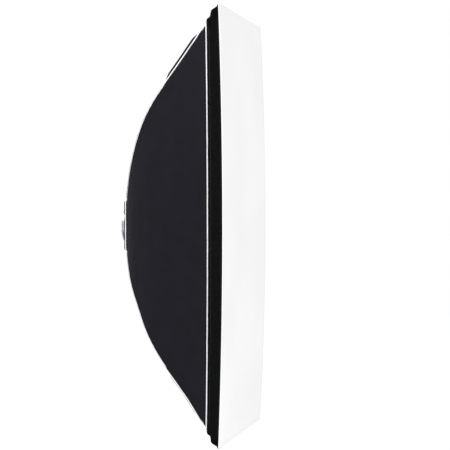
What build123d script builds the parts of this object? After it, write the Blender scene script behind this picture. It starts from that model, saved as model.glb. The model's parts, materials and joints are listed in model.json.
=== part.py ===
"""Folding strip softbox: a tapered fabric box on a turning, click-stopped ring with four hinged rods.

Millimetres, +Z up along the long side. The white front faces -Y and the lamp side is +Y, so a
"depth" is measured along -Y from the origin, the centre of the bayonet insert's rear face.
Left is -X, right is +X.
"""
import os
from math import atan, cos, hypot, radians, sin, sqrt, tan

from build123d import *

os.makedirs("parts", exist_ok=True)

# ---------------------------------------------------------------- driving dimensions
front_width = 500.0
front_height = 1300.0
box_depth = 360.0
opening_depth = 10.0
seam_start_angle = radians(8.0)
seam_end_angle = radians(38.7)

fabric = 0.6
tape = 0.8
hem_fabric = 1.8
hem_gap = 0.2
hem_run = 53.0
piping_radius = 1.5
stitch_gap = 0.2
seam_piping_start = 9.0
seam_piping_stop = 7.5
piping_corner_gap = 0.15
collar_wall = 1.2
collar_rear = 2.0
diffuser_thickness = 1.0
diffuser_corner = 3.0
rim_setback = 1.0

bore_radius = 58.0
neck_wall = 4.0
neck_length = 14.0
lug_height = 4.0
lug_thickness = 4.0
lug_angle = 32.0
lug_count = 3
lug_root = 1.0
flange_lip = 1.2
flange_thickness = 4.0
journal_wall = 6.0
running_gap = 0.05
liner_wall = 1.5
liner_flange_lip = 3.4
liner_flange = 1.0
hub_wall = 1.7
hub_length = 16.0
washer_thickness = 1.0
washer_lip = 4.5
retainer_thickness = 3.0
retainer_screw_radius = 1.5
retainer_screw_head = 2.7
retainer_screw_length = 12.0
retainer_screw_count = 6
retainer_screw_sink = 90.0

click_count = 24
ball_count = 2
ball_radius = 2.0
ball_clear = 0.4
ball_into_dimple = 0.7
ball_hole_gap = 0.05
detent_spring_turns = 5
detent_spring_wire = 0.25
detent_screw_length = 4.0
hex_socket_radius = 0.8
hex_sides = 6

plate_thickness = 5.0
plate_beside_hub = 6.5
plate_above_hub = 2.5
plate_margin = 0.4
plate_corner = 8.0

fold_limit_heel_gap = 0.2
pin_radius = 2.0
heel_wall = 3.3
socket_half_width = 5.5
cheek_gap = 0.3
cheek_wall = 2.5
cheek_root = 1.0
socket_setback = 14.0
rod_radius = 2.5
socket_wall = 2.5
socket_neck_across = 6.0
socket_neck_deep = 8.0
socket_neck_root = 1.0
socket_tube_start = 8.0
socket_tube_end = 34.0
rod_seat = 10.0
rod_end_inset = 32.6
grub_radius = 1.5
grub_along = 24.0

tip_wall = 0.9
tip_round = 1.5
tip_length = 14.0
tip_over_rod = 10.0
pocket_gap = 0.5
pocket_wall = 1.5
pocket_length = 40.0
pocket_beside_short = 0.156
pocket_beside_long = 1.143

leaf_thickness = 0.8
leaf_width = 5.0
leaf_drop = 4.0
leaf_front_gap = 0.5
tooth_width = 4.0
tooth_height = 1.5
tooth_reach = 2.4
notch_gap = 0.4
boss_across = 7.0
boss_inset = 21.0
rivet_radius = 1.25
rivet_head_radius = 2.2
rivet_length = 6.0

button_radius = 2.5
button_inset = 13.0
button_head_radius = 4.0
button_head = 1.7
button_travel = 2.5
button_collar_radius = 3.3
button_collar = 1.2
button_guide_radius = 4.2
button_guide_length = 8.0

baffle_run = 340.0
baffle_inset = 14.0
baffle_corner = 25.0
strap_width = 12.0
strap_length = 14.0
strap_thickness = 1.0
strap_overlap = 8.0
strap_row_share = 0.8
tab_clearance = 2.8
stud_radius = 4.0
stud_height = 1.6

full_turn = 360.0
quarter_turn = 90.0

# ---------------------------------------------------------------- sizes that follow from the bore
neck_radius = bore_radius + neck_wall
journal_radius = bore_radius + journal_wall
liner_radius = journal_radius + running_gap + liner_wall
liner_flange_radius = journal_radius + liner_flange_lip
washer_radius = journal_radius + washer_lip
retainer_screw_circle = (bore_radius + journal_radius) / 2
ball_circle = liner_flange_radius + ball_clear + ball_radius
flange_radius = ball_circle + ball_radius + flange_lip
hub_radius = ball_circle + ball_radius + hub_wall
half_opening_x = hub_radius + plate_beside_hub
half_opening_z = hub_radius + plate_above_hub

heel_radius = pin_radius + heel_wall
socket_tube_radius = rod_radius + socket_wall
tip_radius = rod_radius + tip_wall

# ---------------------------------------------------------------- shape of the corner seams
seam_reach_x = front_width / 2 - half_opening_x
seam_reach_z = front_height / 2 - half_opening_z
seam_run = hypot(seam_reach_x, seam_reach_z)
along_x = seam_reach_x / seam_run
along_z = seam_reach_z / seam_run
end_slope = tan(seam_end_angle)
# an arc tangent to a straight end: the radius that brings the seam to the full depth at its full run
arc_rise = cos(seam_start_angle) - cos(seam_end_angle)
arc_reach = sin(seam_end_angle) - sin(seam_start_angle)
seam_radius = (seam_run * end_slope - (box_depth - opening_depth)) / (
    arc_reach * end_slope - arc_rise
)
hem_start = seam_run - hem_run
rod_end_run = seam_run - rod_end_inset
long_lean = atan(end_slope / along_x)
short_lean = atan(end_slope / along_z)

# the rods run inside the seam, as far from the long and the short panels as their pockets need
rim_depth = tip_radius + pocket_gap + pocket_wall + fabric + tape
from_long = rim_depth + pocket_beside_long
from_short = rim_depth + pocket_beside_short
# distance to the long and to the short panel that each millimetre inwards and sideways gives
inwards_long = sin(seam_end_angle) * along_x * sin(long_lean) + cos(seam_end_angle) * cos(long_lean)
inwards_short = sin(seam_end_angle) * along_z * sin(short_lean) + cos(seam_end_angle) * cos(short_lean)
sideways_long = along_z * sin(long_lean)
sideways_short = along_x * sin(short_lean)
rod_inset = (from_long * sideways_short + from_short * sideways_long) / (
    inwards_long * sideways_short + inwards_short * sideways_long
)
rod_side_inset = (from_long - inwards_long * rod_inset) / sideways_long
corners = {
    "upper_left": (-1, 1),
    "upper_right": (1, 1),
    "lower_left": (-1, -1),
    "lower_right": (1, -1),
}
arc_steps = 6
arc_angles = [
    seam_start_angle + (seam_end_angle - seam_start_angle) * i / arc_steps
    for i in range(arc_steps + 1)
]


def arc_run(angle):
    """Plan distance from the seam's start to where it heads at this angle."""
    return seam_radius * (sin(angle) - sin(seam_start_angle))


def arc_depth(angle):
    return opening_depth + seam_radius * (cos(seam_start_angle) - cos(angle))


def straight_depth(run):
    """Depth of the seam in its straight front stretch."""
    return box_depth - (seam_run - run) * end_slope


def depth_at(run):
    """Depth of the seam at any plan distance from its start."""
    if run >= arc_run(seam_end_angle):
        return straight_depth(run)
    across = run / seam_radius + sin(seam_start_angle)
    return opening_depth + seam_radius * (cos(seam_start_angle) - sqrt(1 - across**2))


def level(depth):
    """Plane square to the depth axis, x to the right and y up, that extrusions leave frontwards."""
    return Plane(origin=(0, -depth, 0), x_dir=(1, 0, 0), z_dir=(0, -1, 0))


def save(part, name):
    part.label = name
    export_step(part, f"parts/{name}.step")


# ---------------------------------------------------------------- mount: fixed to the lamp
journal_end = flange_thickness + liner_flange + hub_length + washer_thickness
hub_rear = flange_thickness + liner_flange
hub_front = hub_rear + hub_length
retainer_front = journal_end + retainer_thickness
dimple_centre = flange_thickness - ball_into_dimple + ball_radius

with BuildPart() as insert:
    with BuildSketch(level(0)):
        Circle(flange_radius)
    extrude(amount=flange_thickness)
    with BuildSketch(level(0)):
        Circle(journal_radius)
    extrude(amount=journal_end)
    with BuildSketch(level(-neck_length)):
        Circle(neck_radius)
    extrude(amount=neck_length)
    for i in range(lug_count):
        turn = quarter_turn + i * full_turn / lug_count
        with BuildSketch(level(-neck_length)):
            with BuildLine():
                r_low = neck_radius - lug_root
                r_top = neck_radius + lug_height
                low = CenterArc((0, 0), r_low, turn - lug_angle / 2, lug_angle)
                top = CenterArc((0, 0), r_top, turn - lug_angle / 2, lug_angle)
                Line(low @ 0, top @ 0)
                Line(low @ 1, top @ 1)
            make_face()
        extrude(amount=lug_thickness)
    with BuildSketch(level(-neck_length)):
        Circle(bore_radius)
    extrude(amount=neck_length + journal_end, mode=Mode.SUBTRACT)
    with Locations(level(dimple_centre)):
        with PolarLocations(ball_circle, click_count, quarter_turn):
            Sphere(ball_radius + ball_hole_gap, mode=Mode.SUBTRACT)
    with BuildSketch(level(retainer_front - retainer_screw_length)):
        with PolarLocations(retainer_screw_circle, retainer_screw_count):
            Circle(retainer_screw_radius)
    extrude(amount=retainer_screw_length, mode=Mode.SUBTRACT)
save(insert.part, "bayonet_insert")

with BuildPart() as retainer:
    with BuildSketch(level(journal_end)):
        Circle(washer_radius)
        Circle(bore_radius, mode=Mode.SUBTRACT)
    extrude(amount=retainer_thickness)
    with Locations(level(retainer_front)):
        with PolarLocations(retainer_screw_circle, retainer_screw_count):
            CounterSinkHole(
                retainer_screw_radius, retainer_screw_head, counter_sink_angle=retainer_screw_sink
            )
save(retainer.part, "retaining_ring")

screw_cone = retainer_screw_head - retainer_screw_radius
with BuildPart() as retainer_screws:
    with BuildSketch(level(retainer_front - retainer_screw_length)):
        with PolarLocations(retainer_screw_circle, retainer_screw_count):
            Circle(retainer_screw_radius)
    extrude(amount=retainer_screw_length)
    with Locations(level(retainer_front - screw_cone)):
        with PolarLocations(retainer_screw_circle, retainer_screw_count):
            Cone(
                retainer_screw_radius,
                retainer_screw_head,
                screw_cone,
                align=(Align.CENTER, Align.CENTER, Align.MIN),
            )
save(retainer_screws.part, "retaining_screws")

# ---------------------------------------------------------------- bearing between insert and ring
with BuildPart() as liner:
    with BuildSketch(level(flange_thickness + running_gap)):
        Circle(liner_flange_radius)
        Circle(journal_radius + running_gap, mode=Mode.SUBTRACT)
    extrude(amount=liner_flange - running_gap)
    with BuildSketch(level(hub_rear)):
        Circle(liner_radius)
        Circle(journal_radius + running_gap, mode=Mode.SUBTRACT)
    extrude(amount=hub_length)
save(liner.part, "bearing_liner")

with BuildPart() as washer:
    with BuildSketch(level(hub_front)):
        Circle(washer_radius)
        Circle(journal_radius + running_gap, mode=Mode.SUBTRACT)
    extrude(amount=washer_thickness - running_gap)
save(washer.part, "thrust_washer")

# ---------------------------------------------------------------- places of the four rod hinges
pivot_x = half_opening_x - socket_setback * along_x - rod_side_inset * along_z
pivot_z = half_opening_z - socket_setback * along_z + rod_side_inset * along_x
pivot_depth = opening_depth + rod_inset * cos(seam_start_angle) - socket_setback * tan(
    seam_start_angle
)
cheek_inner = socket_half_width + cheek_gap
cheek_outer = cheek_inner + cheek_wall
plate_half_x = half_opening_x - plate_margin
plate_half_z = half_opening_z - plate_margin
plate_front = hub_rear + plate_thickness
leaf_z = pivot_z - leaf_drop
leaf_rear = pivot_depth + heel_radius + leaf_front_gap
boss_x = pivot_x - boss_inset
button_x = pivot_x - button_inset
ball_hole_radius = ball_radius + ball_hole_gap

# ---------------------------------------------------------------- ring that carries the fabric box
with BuildPart() as carrier:
    with BuildSketch(level(hub_rear)):
        RectangleRounded(2 * plate_half_x, 2 * plate_half_z, plate_corner)
    extrude(amount=plate_thickness)
    with BuildSketch(level(hub_rear)):
        Circle(hub_radius)
    extrude(amount=hub_length)
    for sx, sz in corners.values():
        hinge_plane = Plane(origin=(sx * pivot_x, 0, 0), x_dir=(0, -1, 0), z_dir=(1, 0, 0))
        for side in (-1, 1):
            inner_face = hinge_plane.offset(side * (cheek_inner + cheek_wall / 2))
            with BuildSketch(inner_face):
                with Locations((pivot_depth, -sz * pivot_z)):
                    Circle(heel_radius + fold_limit_heel_gap)
                with BuildLine():
                    half = heel_radius + fold_limit_heel_gap
                    middle = -sz * pivot_z
                    Polyline(
                        (plate_front - cheek_root, middle - half),
                        (pivot_depth, middle - half),
                        (pivot_depth, middle + half),
                        (plate_front - cheek_root, middle + half),
                        close=True,
                    )
                make_face()
            extrude(amount=cheek_wall / 2, both=True)
        with Locations((sx * boss_x, -(plate_front + leaf_rear) / 2, sz * leaf_z)):
            Box(boss_across, leaf_rear - plate_front, boss_across)
        with BuildSketch(level(plate_front)):
            with Locations((sx * button_x, sz * leaf_z)):
                Circle(button_guide_radius)
        extrude(amount=button_guide_length)
        with BuildSketch(level(hub_rear)):
            with Locations((sx * button_x, sz * leaf_z)):
                Circle(button_radius + running_gap)
        extrude(amount=plate_thickness + button_guide_length, mode=Mode.SUBTRACT)
        with BuildSketch(level(leaf_rear - rivet_length)):
            with Locations((sx * boss_x, sz * leaf_z)):
                Circle(rivet_radius)
        extrude(amount=rivet_length, mode=Mode.SUBTRACT)
        with BuildSketch(hinge_plane):
            with Locations((pivot_depth, -sz * pivot_z)):
                Circle(pin_radius)
        extrude(amount=cheek_outer, both=True, mode=Mode.SUBTRACT)
    with BuildSketch(level(hub_rear)):
        Circle(liner_radius)
    extrude(amount=hub_length, mode=Mode.SUBTRACT)
    with BuildSketch(level(hub_rear)):
        with PolarLocations(ball_circle, ball_count, quarter_turn):
            Circle(ball_hole_radius)
    extrude(amount=hub_length, mode=Mode.SUBTRACT)
save(carrier.part, "carrier_ring")

with BuildPart() as balls:
    with Locations(level(dimple_centre)):
        with PolarLocations(ball_circle, ball_count, quarter_turn):
            Sphere(ball_radius)
save(balls.part, "detent_balls")

detent_screw_rear = hub_front - detent_screw_length
spring_rear = dimple_centre + ball_radius + detent_spring_wire
spring_length = detent_screw_rear - spring_rear - detent_spring_wire
spring_radius = ball_radius - 2 * detent_spring_wire
with BuildPart() as springs:
    for sz in (-1, 1):
        with BuildLine() as coil:
            Helix(
                pitch=spring_length / detent_spring_turns,
                height=spring_length,
                radius=spring_radius,
                center=(0, -spring_rear, sz * ball_circle),
                direction=(0, -1, 0),
            )
        with BuildSketch(Plane(origin=coil.line @ 0, z_dir=coil.line % 0)):
            Circle(detent_spring_wire)
        sweep(path=coil.line, is_frenet=True)
save(springs.part, "detent_springs")

with BuildPart() as detent_screws:
    with BuildSketch(level(detent_screw_rear)):
        with PolarLocations(ball_circle, ball_count, quarter_turn):
            Circle(ball_hole_radius)
            RegularPolygon(hex_socket_radius, hex_sides, mode=Mode.SUBTRACT)
    extrude(amount=detent_screw_length)
save(detent_screws.part, "detent_screws")

with BuildPart() as pins:
    for sx, sz in corners.values():
        with BuildSketch(Plane(origin=(sx * pivot_x, 0, 0), x_dir=(0, -1, 0), z_dir=(1, 0, 0))):
            with Locations((pivot_depth, -sz * pivot_z)):
                Circle(pin_radius)
        extrude(amount=cheek_outer, both=True)
save(pins.part, "hinge_pins")

# ---------------------------------------------------------------- locks on the four hinges
leaf_end = pivot_x + tooth_width / 2
with BuildPart() as leaves:
    for sx, sz in corners.values():
        leaf_start = boss_x - boss_across / 2
        middle_x = (leaf_start + leaf_end) / 2
        with Locations((sx * middle_x, -(leaf_rear + leaf_thickness / 2), sz * leaf_z)):
            Box(leaf_end - leaf_start, leaf_thickness, leaf_width)
        with Locations((sx * pivot_x, -(leaf_rear - tooth_reach / 2), sz * leaf_z)):
            Box(tooth_width, tooth_reach, tooth_height)
        with BuildSketch(level(leaf_rear)):
            with Locations((sx * boss_x, sz * leaf_z)):
                Circle(rivet_radius)
        extrude(amount=leaf_thickness, mode=Mode.SUBTRACT)
save(leaves.part, "latch_leaf_springs")

with BuildPart() as rivets:
    for sx, sz in corners.values():
        with BuildSketch(level(leaf_rear - rivet_length)):
            with Locations((sx * boss_x, sz * leaf_z)):
                Circle(rivet_radius)
        extrude(amount=rivet_length + leaf_thickness)
        with BuildSketch(level(leaf_rear + leaf_thickness)):
            with Locations((sx * boss_x, sz * leaf_z)):
                Circle(rivet_head_radius)
        extrude(amount=leaf_thickness)
save(rivets.part, "latch_rivets")

button_rear = hub_rear - button_travel - button_head - 2 * running_gap
button_tip = leaf_rear - 2 * running_gap
guide_front = plate_front + button_guide_length
for corner, (sx, sz) in corners.items():
    with BuildPart() as button:
        spot = (sx * button_x, sz * leaf_z)
        with BuildSketch(level(button_rear)):
            with Locations(spot):
                Circle(button_head_radius)
        extrude(amount=button_head)
        with BuildSketch(level(button_rear)):
            with Locations(spot):
                Circle(button_radius)
        extrude(amount=button_tip - button_rear)
        with BuildSketch(level(guide_front + cheek_gap)):
            with Locations(spot):
                Circle(button_collar_radius)
        extrude(amount=button_collar)
    save(button.part, f"release_button_{corner}")

# ---------------------------------------------------------------- hinged sockets and flexible rods


def rod_plane(sx, sz):
    """Plane of one rod: local x runs outwards along the seam's plan line, local y is depth."""
    across = Vector(sx * along_x, 0, sz * along_z)
    depth = Vector(0, -1, 0)
    origin = (sx * (pivot_x + socket_setback * along_x), 0, sz * (pivot_z + socket_setback * along_z))
    return Plane(origin=origin, x_dir=across, z_dir=across.cross(depth))


def on_axis(distance):
    """Point of the socket's axis this far from the hinge, in the rod's plane."""
    return (
        -socket_setback + distance * cos(seam_start_angle),
        pivot_depth + distance * sin(seam_start_angle),
    )


def rod_depth(run):
    """Depth of the rod's centre in its straight front stretch."""
    return straight_depth(run) + rod_inset / cos(seam_end_angle)


def end_point(back):
    """Point of the straight stretch this far back from the rod's end."""
    run = rod_end_run - back * cos(seam_end_angle)
    return (run, rod_depth(run))


def section(plane, point, heading):
    """Plane across the rod at a point of its plane, facing along the heading."""
    centre = plane.from_local_coords(Vector(point[0], point[1], 0))
    forward = plane.x_dir * cos(heading) + plane.y_dir * sin(heading)
    return Plane(origin=centre, x_dir=plane.z_dir, z_dir=forward)


# where the rod leaves the socket's straight axis for its arc
arc_first = (
    -rod_inset * sin(seam_start_angle),
    opening_depth + rod_inset * cos(seam_start_angle),
)
arc_last = (
    arc_run(seam_end_angle) - rod_inset * sin(seam_end_angle),
    arc_depth(seam_end_angle) + rod_inset * cos(seam_end_angle),
)

for corner, (sx, sz) in corners.items():
    plane = rod_plane(sx, sz)
    pivot = Vector(sx * pivot_x, -pivot_depth, sz * pivot_z)
    hinge_plane = Plane(origin=pivot, x_dir=(0, -1, 0), z_dir=(1, 0, 0))
    tube_plane = section(plane, on_axis(socket_tube_start), seam_start_angle)
    seat_plane = section(plane, on_axis(rod_seat), seam_start_angle)
    grub_plane = section(plane, on_axis(grub_along), seam_start_angle)
    grub_side = Plane(origin=grub_plane.origin, x_dir=grub_plane.z_dir, z_dir=grub_plane.x_dir)
    with BuildPart() as socket:
        with BuildSketch(hinge_plane):
            Circle(heel_radius)
        extrude(amount=socket_half_width, both=True)
        with BuildSketch(section(plane, on_axis(0), seam_start_angle)):
            Rectangle(socket_neck_across, socket_neck_deep)
        extrude(amount=socket_tube_start + socket_neck_root)
        with BuildSketch(tube_plane):
            Circle(socket_tube_radius)
        extrude(amount=socket_tube_end - socket_tube_start)
        with BuildSketch(seat_plane):
            Circle(rod_radius)
        extrude(amount=socket_tube_end, mode=Mode.SUBTRACT)
        with BuildSketch(hinge_plane):
            Circle(pin_radius + running_gap)
        extrude(amount=socket_half_width, both=True, mode=Mode.SUBTRACT)
        with Locations((sx * pivot_x, -(leaf_rear - tooth_reach / 2), sz * leaf_z)):
            Box(
                tooth_width + 2 * notch_gap,
                tooth_reach + 2 * notch_gap,
                tooth_height + 2 * notch_gap,
                mode=Mode.SUBTRACT,
            )
        with BuildSketch(grub_side):
            Circle(grub_radius)
        extrude(amount=socket_tube_radius, mode=Mode.SUBTRACT)
    save(socket.part, f"rod_socket_{corner}")

    with BuildPart() as grub:
        with BuildSketch(grub_side.offset(rod_radius)):
            Circle(grub_radius)
            RegularPolygon(hex_socket_radius, hex_sides, mode=Mode.SUBTRACT)
        extrude(amount=socket_tube_radius - rod_radius)
    save(grub.part, f"socket_grub_screw_{corner}")

    with BuildPart() as rod:
        with BuildLine(plane) as path:
            start = on_axis(rod_seat)
            Line(start, arc_first)
            middle = (seam_start_angle + seam_end_angle) / 2
            ThreePointArc(
                arc_first,
                (
                    arc_run(middle) - rod_inset * sin(middle),
                    arc_depth(middle) + rod_inset * cos(middle),
                ),
                arc_last,
            )
            Line(arc_last, end_point(0))
        with BuildSketch(seat_plane):
            Circle(rod_radius)
        sweep(path=path.line)
    save(rod.part, f"rod_{corner}")

    tip_plane = section(plane, end_point(tip_over_rod), seam_end_angle)
    with BuildPart() as tip:
        with BuildSketch(tip_plane):
            Circle(tip_radius)
        extrude(amount=tip_length)
        end_face = tip.faces().sort_by(Axis(tip_plane.origin, tip_plane.z_dir))[-1]
        fillet(end_face.edges(), tip_round)
        with BuildSketch(tip_plane):
            Circle(rod_radius)
        extrude(amount=tip_over_rod, mode=Mode.SUBTRACT)
    save(tip.part, f"rod_tip_{corner}")

# ---------------------------------------------------------------- fabric panels
def panel_edge(half_opening, along, inward):
    """Points of a panel's profile, across and deep, moved inwards square to the fabric."""
    points = []
    for angle in arc_angles:
        lean = atan(tan(angle) / along)
        across = half_opening + along * arc_run(angle)
        points.append((across - inward * sin(lean), arc_depth(angle) + inward * cos(lean)))
    lean = atan(end_slope / along)
    across = half_opening + along * hem_start
    end = (across - inward * sin(lean), straight_depth(hem_start) + inward * cos(lean))
    return points, end


def seam_cut(sx, sz):
    """Plane of a corner seam, facing its long panel."""
    start = (sx * half_opening_x, 0, sz * half_opening_z)
    return Plane(origin=start, x_dir=(0, 1, 0), z_dir=(sx * along_z, 0, -sz * along_x))


panels = {
    "left_panel": ((-1, 0, 0), half_opening_x, along_x, front_height),
    "right_panel": ((1, 0, 0), half_opening_x, along_x, front_height),
    "top_panel": ((0, 0, 1), half_opening_z, along_z, front_width),
    "bottom_panel": ((0, 0, -1), half_opening_z, along_z, front_width),
}
for name, (outward, half_opening, along, length) in panels.items():
    out = Vector(*outward)
    profile_plane = Plane(origin=(0, 0, 0), x_dir=out, z_dir=out.cross(Vector(0, -1, 0)))
    outer, outer_end = panel_edge(half_opening, along, 0)
    inner, inner_end = panel_edge(half_opening, along, fabric)
    with BuildPart() as panel:
        with BuildSketch(profile_plane):
            with BuildLine():
                Spline(*outer)
                Line(outer[-1], outer_end)
                Line(outer_end, inner_end)
                Line(inner_end, inner[-1])
                Spline(*inner)
                Line(inner[0], outer[0])
            make_face()
        extrude(amount=length / 2, both=True)
        is_long = abs(outward[0]) == 1
        for sx, sz in corners.values():
            if sx == outward[0] or sz == outward[2]:
                kept = Keep.TOP if is_long else Keep.BOTTOM
                split(bisect_by=seam_cut(sx, sz), keep=kept)
    save(panel.part, name)

# ---------------------------------------------------------------- piping
piping_out = piping_radius + stitch_gap
for corner, (sx, sz) in corners.items():
    across = Vector(sx * along_x, 0, sz * along_z)
    origin = (sx * half_opening_x, 0, sz * half_opening_z)
    plane = Plane(origin=origin, x_dir=across, z_dir=across.cross(Vector(0, -1, 0)))
    first_angle = seam_start_angle + seam_piping_start / seam_radius
    middle_angle = (first_angle + seam_end_angle) / 2
    stops = [
        (arc_run(angle) + piping_out * sin(angle), arc_depth(angle) - piping_out * cos(angle))
        for angle in (first_angle, middle_angle, seam_end_angle)
    ]
    last_run = hem_start - seam_piping_stop
    last = (
        last_run + piping_out * sin(seam_end_angle),
        straight_depth(last_run) - piping_out * cos(seam_end_angle),
    )
    with BuildPart() as piping:
        with BuildLine(plane) as path:
            ThreePointArc(*stops)
            Line(stops[-1], last)
        with BuildSketch(section(plane, stops[0], first_angle)):
            Circle(piping_radius)
        sweep(path=path.line)
    save(piping.part, f"seam_piping_{corner}")


def half_size(depth, gap):
    """Half width and half height of the box's straight front stretch at a depth, grown by a gap."""
    run = seam_run - (box_depth - depth) / end_slope
    half_x = half_opening_x + along_x * run + gap / sin(long_lean)
    half_z = half_opening_z + along_z * run + gap / sin(short_lean)
    return half_x, half_z


def piping_loop(depth, half_x, half_z, corner_radius, name):
    """Closed cord of piping round the box, square to its depth."""
    with BuildSketch(level(depth)) as outline:
        RectangleRounded(2 * half_x, 2 * half_z, corner_radius)
    path = outline.sketch.wires()[0]
    with BuildPart() as loop:
        with BuildSketch(Plane(origin=path @ 0, z_dir=path % 0)):
            Circle(piping_radius)
        sweep(path=path)
    save(loop.part, name)


front_piping_depth = straight_depth(hem_start) - piping_radius
front_piping_x, front_piping_z = half_size(front_piping_depth, piping_out)
piping_loop(
    front_piping_depth,
    front_piping_x,
    front_piping_z,
    piping_radius + piping_corner_gap,
    "front_piping",
)

collar_front = opening_depth - stitch_gap
with BuildPart() as collar:
    with BuildSketch(level(collar_rear)):
        RectangleRounded(
            2 * (half_opening_x + collar_wall),
            2 * (half_opening_z + collar_wall),
            plate_corner + collar_wall,
        )
        RectangleRounded(2 * half_opening_x, 2 * half_opening_z, plate_corner, mode=Mode.SUBTRACT)
    extrude(amount=collar_front - collar_rear)
save(collar.part, "rear_collar")

rear_piping_x = half_opening_x + collar_wall + piping_out
rear_piping_z = half_opening_z + collar_wall + piping_out
piping_loop(
    collar_front - piping_out - stitch_gap,
    rear_piping_x,
    rear_piping_z,
    plate_corner + collar_wall + piping_out,
    "rear_piping",
)


# ---------------------------------------------------------------- front rim and diffusers
def outline_at(depth, gap):
    """The box's outline at a depth of its straight stretch, grown by a gap."""
    half_x, half_z = half_size(depth, gap)
    with BuildSketch(level(depth)) as outline:
        Rectangle(2 * half_x, 2 * half_z)
    return outline.sketch


band_depths = (straight_depth(hem_start) + rim_setback, box_depth)
with BuildPart() as rim:
    loft([outline_at(depth, 0) for depth in band_depths])
    loft([outline_at(depth, -fabric - tape) for depth in band_depths], mode=Mode.SUBTRACT)
save(rim.part, "rim_band")

hem_depths = (straight_depth(hem_start) + 2 * piping_radius, box_depth)
with BuildPart() as hem:
    loft([outline_at(depth, hem_gap + hem_fabric) for depth in hem_depths])
    loft([outline_at(depth, hem_gap) for depth in hem_depths], mode=Mode.SUBTRACT)
save(hem.part, "diffuser_hem")

with BuildPart() as diffuser:
    with BuildSketch(level(box_depth + stitch_gap)):
        RectangleRounded(front_width, front_height, diffuser_corner)
    extrude(amount=diffuser_thickness)
save(diffuser.part, "front_diffuser")

with BuildPart() as pockets:
    for sx, sz in corners.values():
        plane = rod_plane(sx, sz)
        mouth = section(plane, end_point(pocket_length - tip_length), seam_end_angle)
        bore = tip_radius + pocket_gap
        with BuildSketch(mouth):
            Circle(bore + pocket_wall)
        extrude(amount=pocket_length)
        with BuildSketch(mouth):
            Circle(bore)
        clear_depth = pocket_length - tip_over_rod + pocket_gap
        extrude(amount=clear_depth, mode=Mode.SUBTRACT)
save(pockets.part, "corner_pockets")

baffle_depth = depth_at(baffle_run)
baffle_half_x = half_opening_x + along_x * baffle_run - baffle_inset
baffle_half_z = half_opening_z + along_z * baffle_run - baffle_inset
with BuildPart() as baffle:
    with BuildSketch(level(baffle_depth)):
        RectangleRounded(2 * baffle_half_x, 2 * baffle_half_z, baffle_corner)
    extrude(amount=fabric)
save(baffle.part, "inner_baffle")

strap_rows = (-strap_row_share, 0, strap_row_share)
strap_places = [(side, 0, baffle_half_x, row * baffle_half_z) for side in (-1, 1) for row in strap_rows]
strap_places += [(0, side, baffle_half_z, 0) for side in (-1, 1)]


def strap_box(place, start, end, thickness, depth):
    """Flat piece that runs from start to end outwards of the baffle's edge."""
    side_x, side_z, edge, row = place
    middle = edge + (start + end) / 2
    if side_x:
        with Locations((side_x * middle, -depth, row)):
            Box(end - start, thickness, strap_width)
    else:
        with Locations((row, -depth, side_z * middle)):
            Box(strap_width, thickness, end - start)


tab_start = strap_length - strap_overlap
with BuildPart() as straps:
    for place in strap_places:
        strap_box(place, -strap_overlap, tab_start, strap_thickness, baffle_depth - strap_thickness / 2)
save(straps.part, "baffle_straps")

tab_reach = baffle_inset - tab_clearance
with BuildPart() as tabs:
    for place in strap_places:
        strap_box(place, tab_start, tab_reach, strap_thickness, baffle_depth - strap_thickness / 2)
save(tabs.part, "baffle_tabs")

with BuildPart() as studs:
    for side_x, side_z, edge, row in strap_places:
        inset = edge - strap_overlap / 2
        spot = (side_x * inset, row) if side_x else (row, side_z * inset)
        for depth in (baffle_depth - strap_thickness - stud_height, baffle_depth + fabric):
            with BuildSketch(level(depth)):
                with Locations(spot):
                    Circle(stud_radius)
            extrude(amount=stud_height)
save(studs.part, "baffle_studs")
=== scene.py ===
"""Strip softbox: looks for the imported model. Metres, in the model's own frame.

+Z is up along the long side, the white front faces -Y and the lamp side is +Y. "run" is the plan
distance along a corner seam from the rear opening, "depth" is measured along -Y, and "across" goes
from -1 to 1 between the two corners of a side.
"""
import json
import math

import bmesh
import bpy
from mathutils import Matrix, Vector, noise


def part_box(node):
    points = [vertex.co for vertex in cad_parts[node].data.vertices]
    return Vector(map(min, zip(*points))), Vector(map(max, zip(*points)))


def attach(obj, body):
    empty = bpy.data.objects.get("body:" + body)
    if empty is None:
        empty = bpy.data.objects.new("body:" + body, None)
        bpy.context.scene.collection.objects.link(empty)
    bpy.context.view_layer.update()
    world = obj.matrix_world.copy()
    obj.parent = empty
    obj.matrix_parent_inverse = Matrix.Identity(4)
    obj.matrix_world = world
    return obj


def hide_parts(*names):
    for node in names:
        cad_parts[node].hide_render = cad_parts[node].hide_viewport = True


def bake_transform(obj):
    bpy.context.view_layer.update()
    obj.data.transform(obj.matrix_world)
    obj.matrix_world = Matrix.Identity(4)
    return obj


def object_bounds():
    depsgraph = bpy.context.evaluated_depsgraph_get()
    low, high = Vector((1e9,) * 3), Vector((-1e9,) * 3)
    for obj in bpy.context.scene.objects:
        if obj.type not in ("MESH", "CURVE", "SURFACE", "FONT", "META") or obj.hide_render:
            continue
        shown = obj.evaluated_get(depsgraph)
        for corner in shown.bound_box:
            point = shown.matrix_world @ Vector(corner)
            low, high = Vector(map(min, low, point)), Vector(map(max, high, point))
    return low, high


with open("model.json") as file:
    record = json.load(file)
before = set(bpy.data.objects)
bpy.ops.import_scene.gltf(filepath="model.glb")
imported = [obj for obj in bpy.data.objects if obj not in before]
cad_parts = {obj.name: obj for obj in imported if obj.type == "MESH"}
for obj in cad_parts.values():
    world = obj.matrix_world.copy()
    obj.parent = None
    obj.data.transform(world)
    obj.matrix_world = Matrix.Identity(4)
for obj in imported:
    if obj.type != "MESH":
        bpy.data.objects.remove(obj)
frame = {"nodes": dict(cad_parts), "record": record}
cad_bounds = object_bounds()

MM = 0.001

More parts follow.
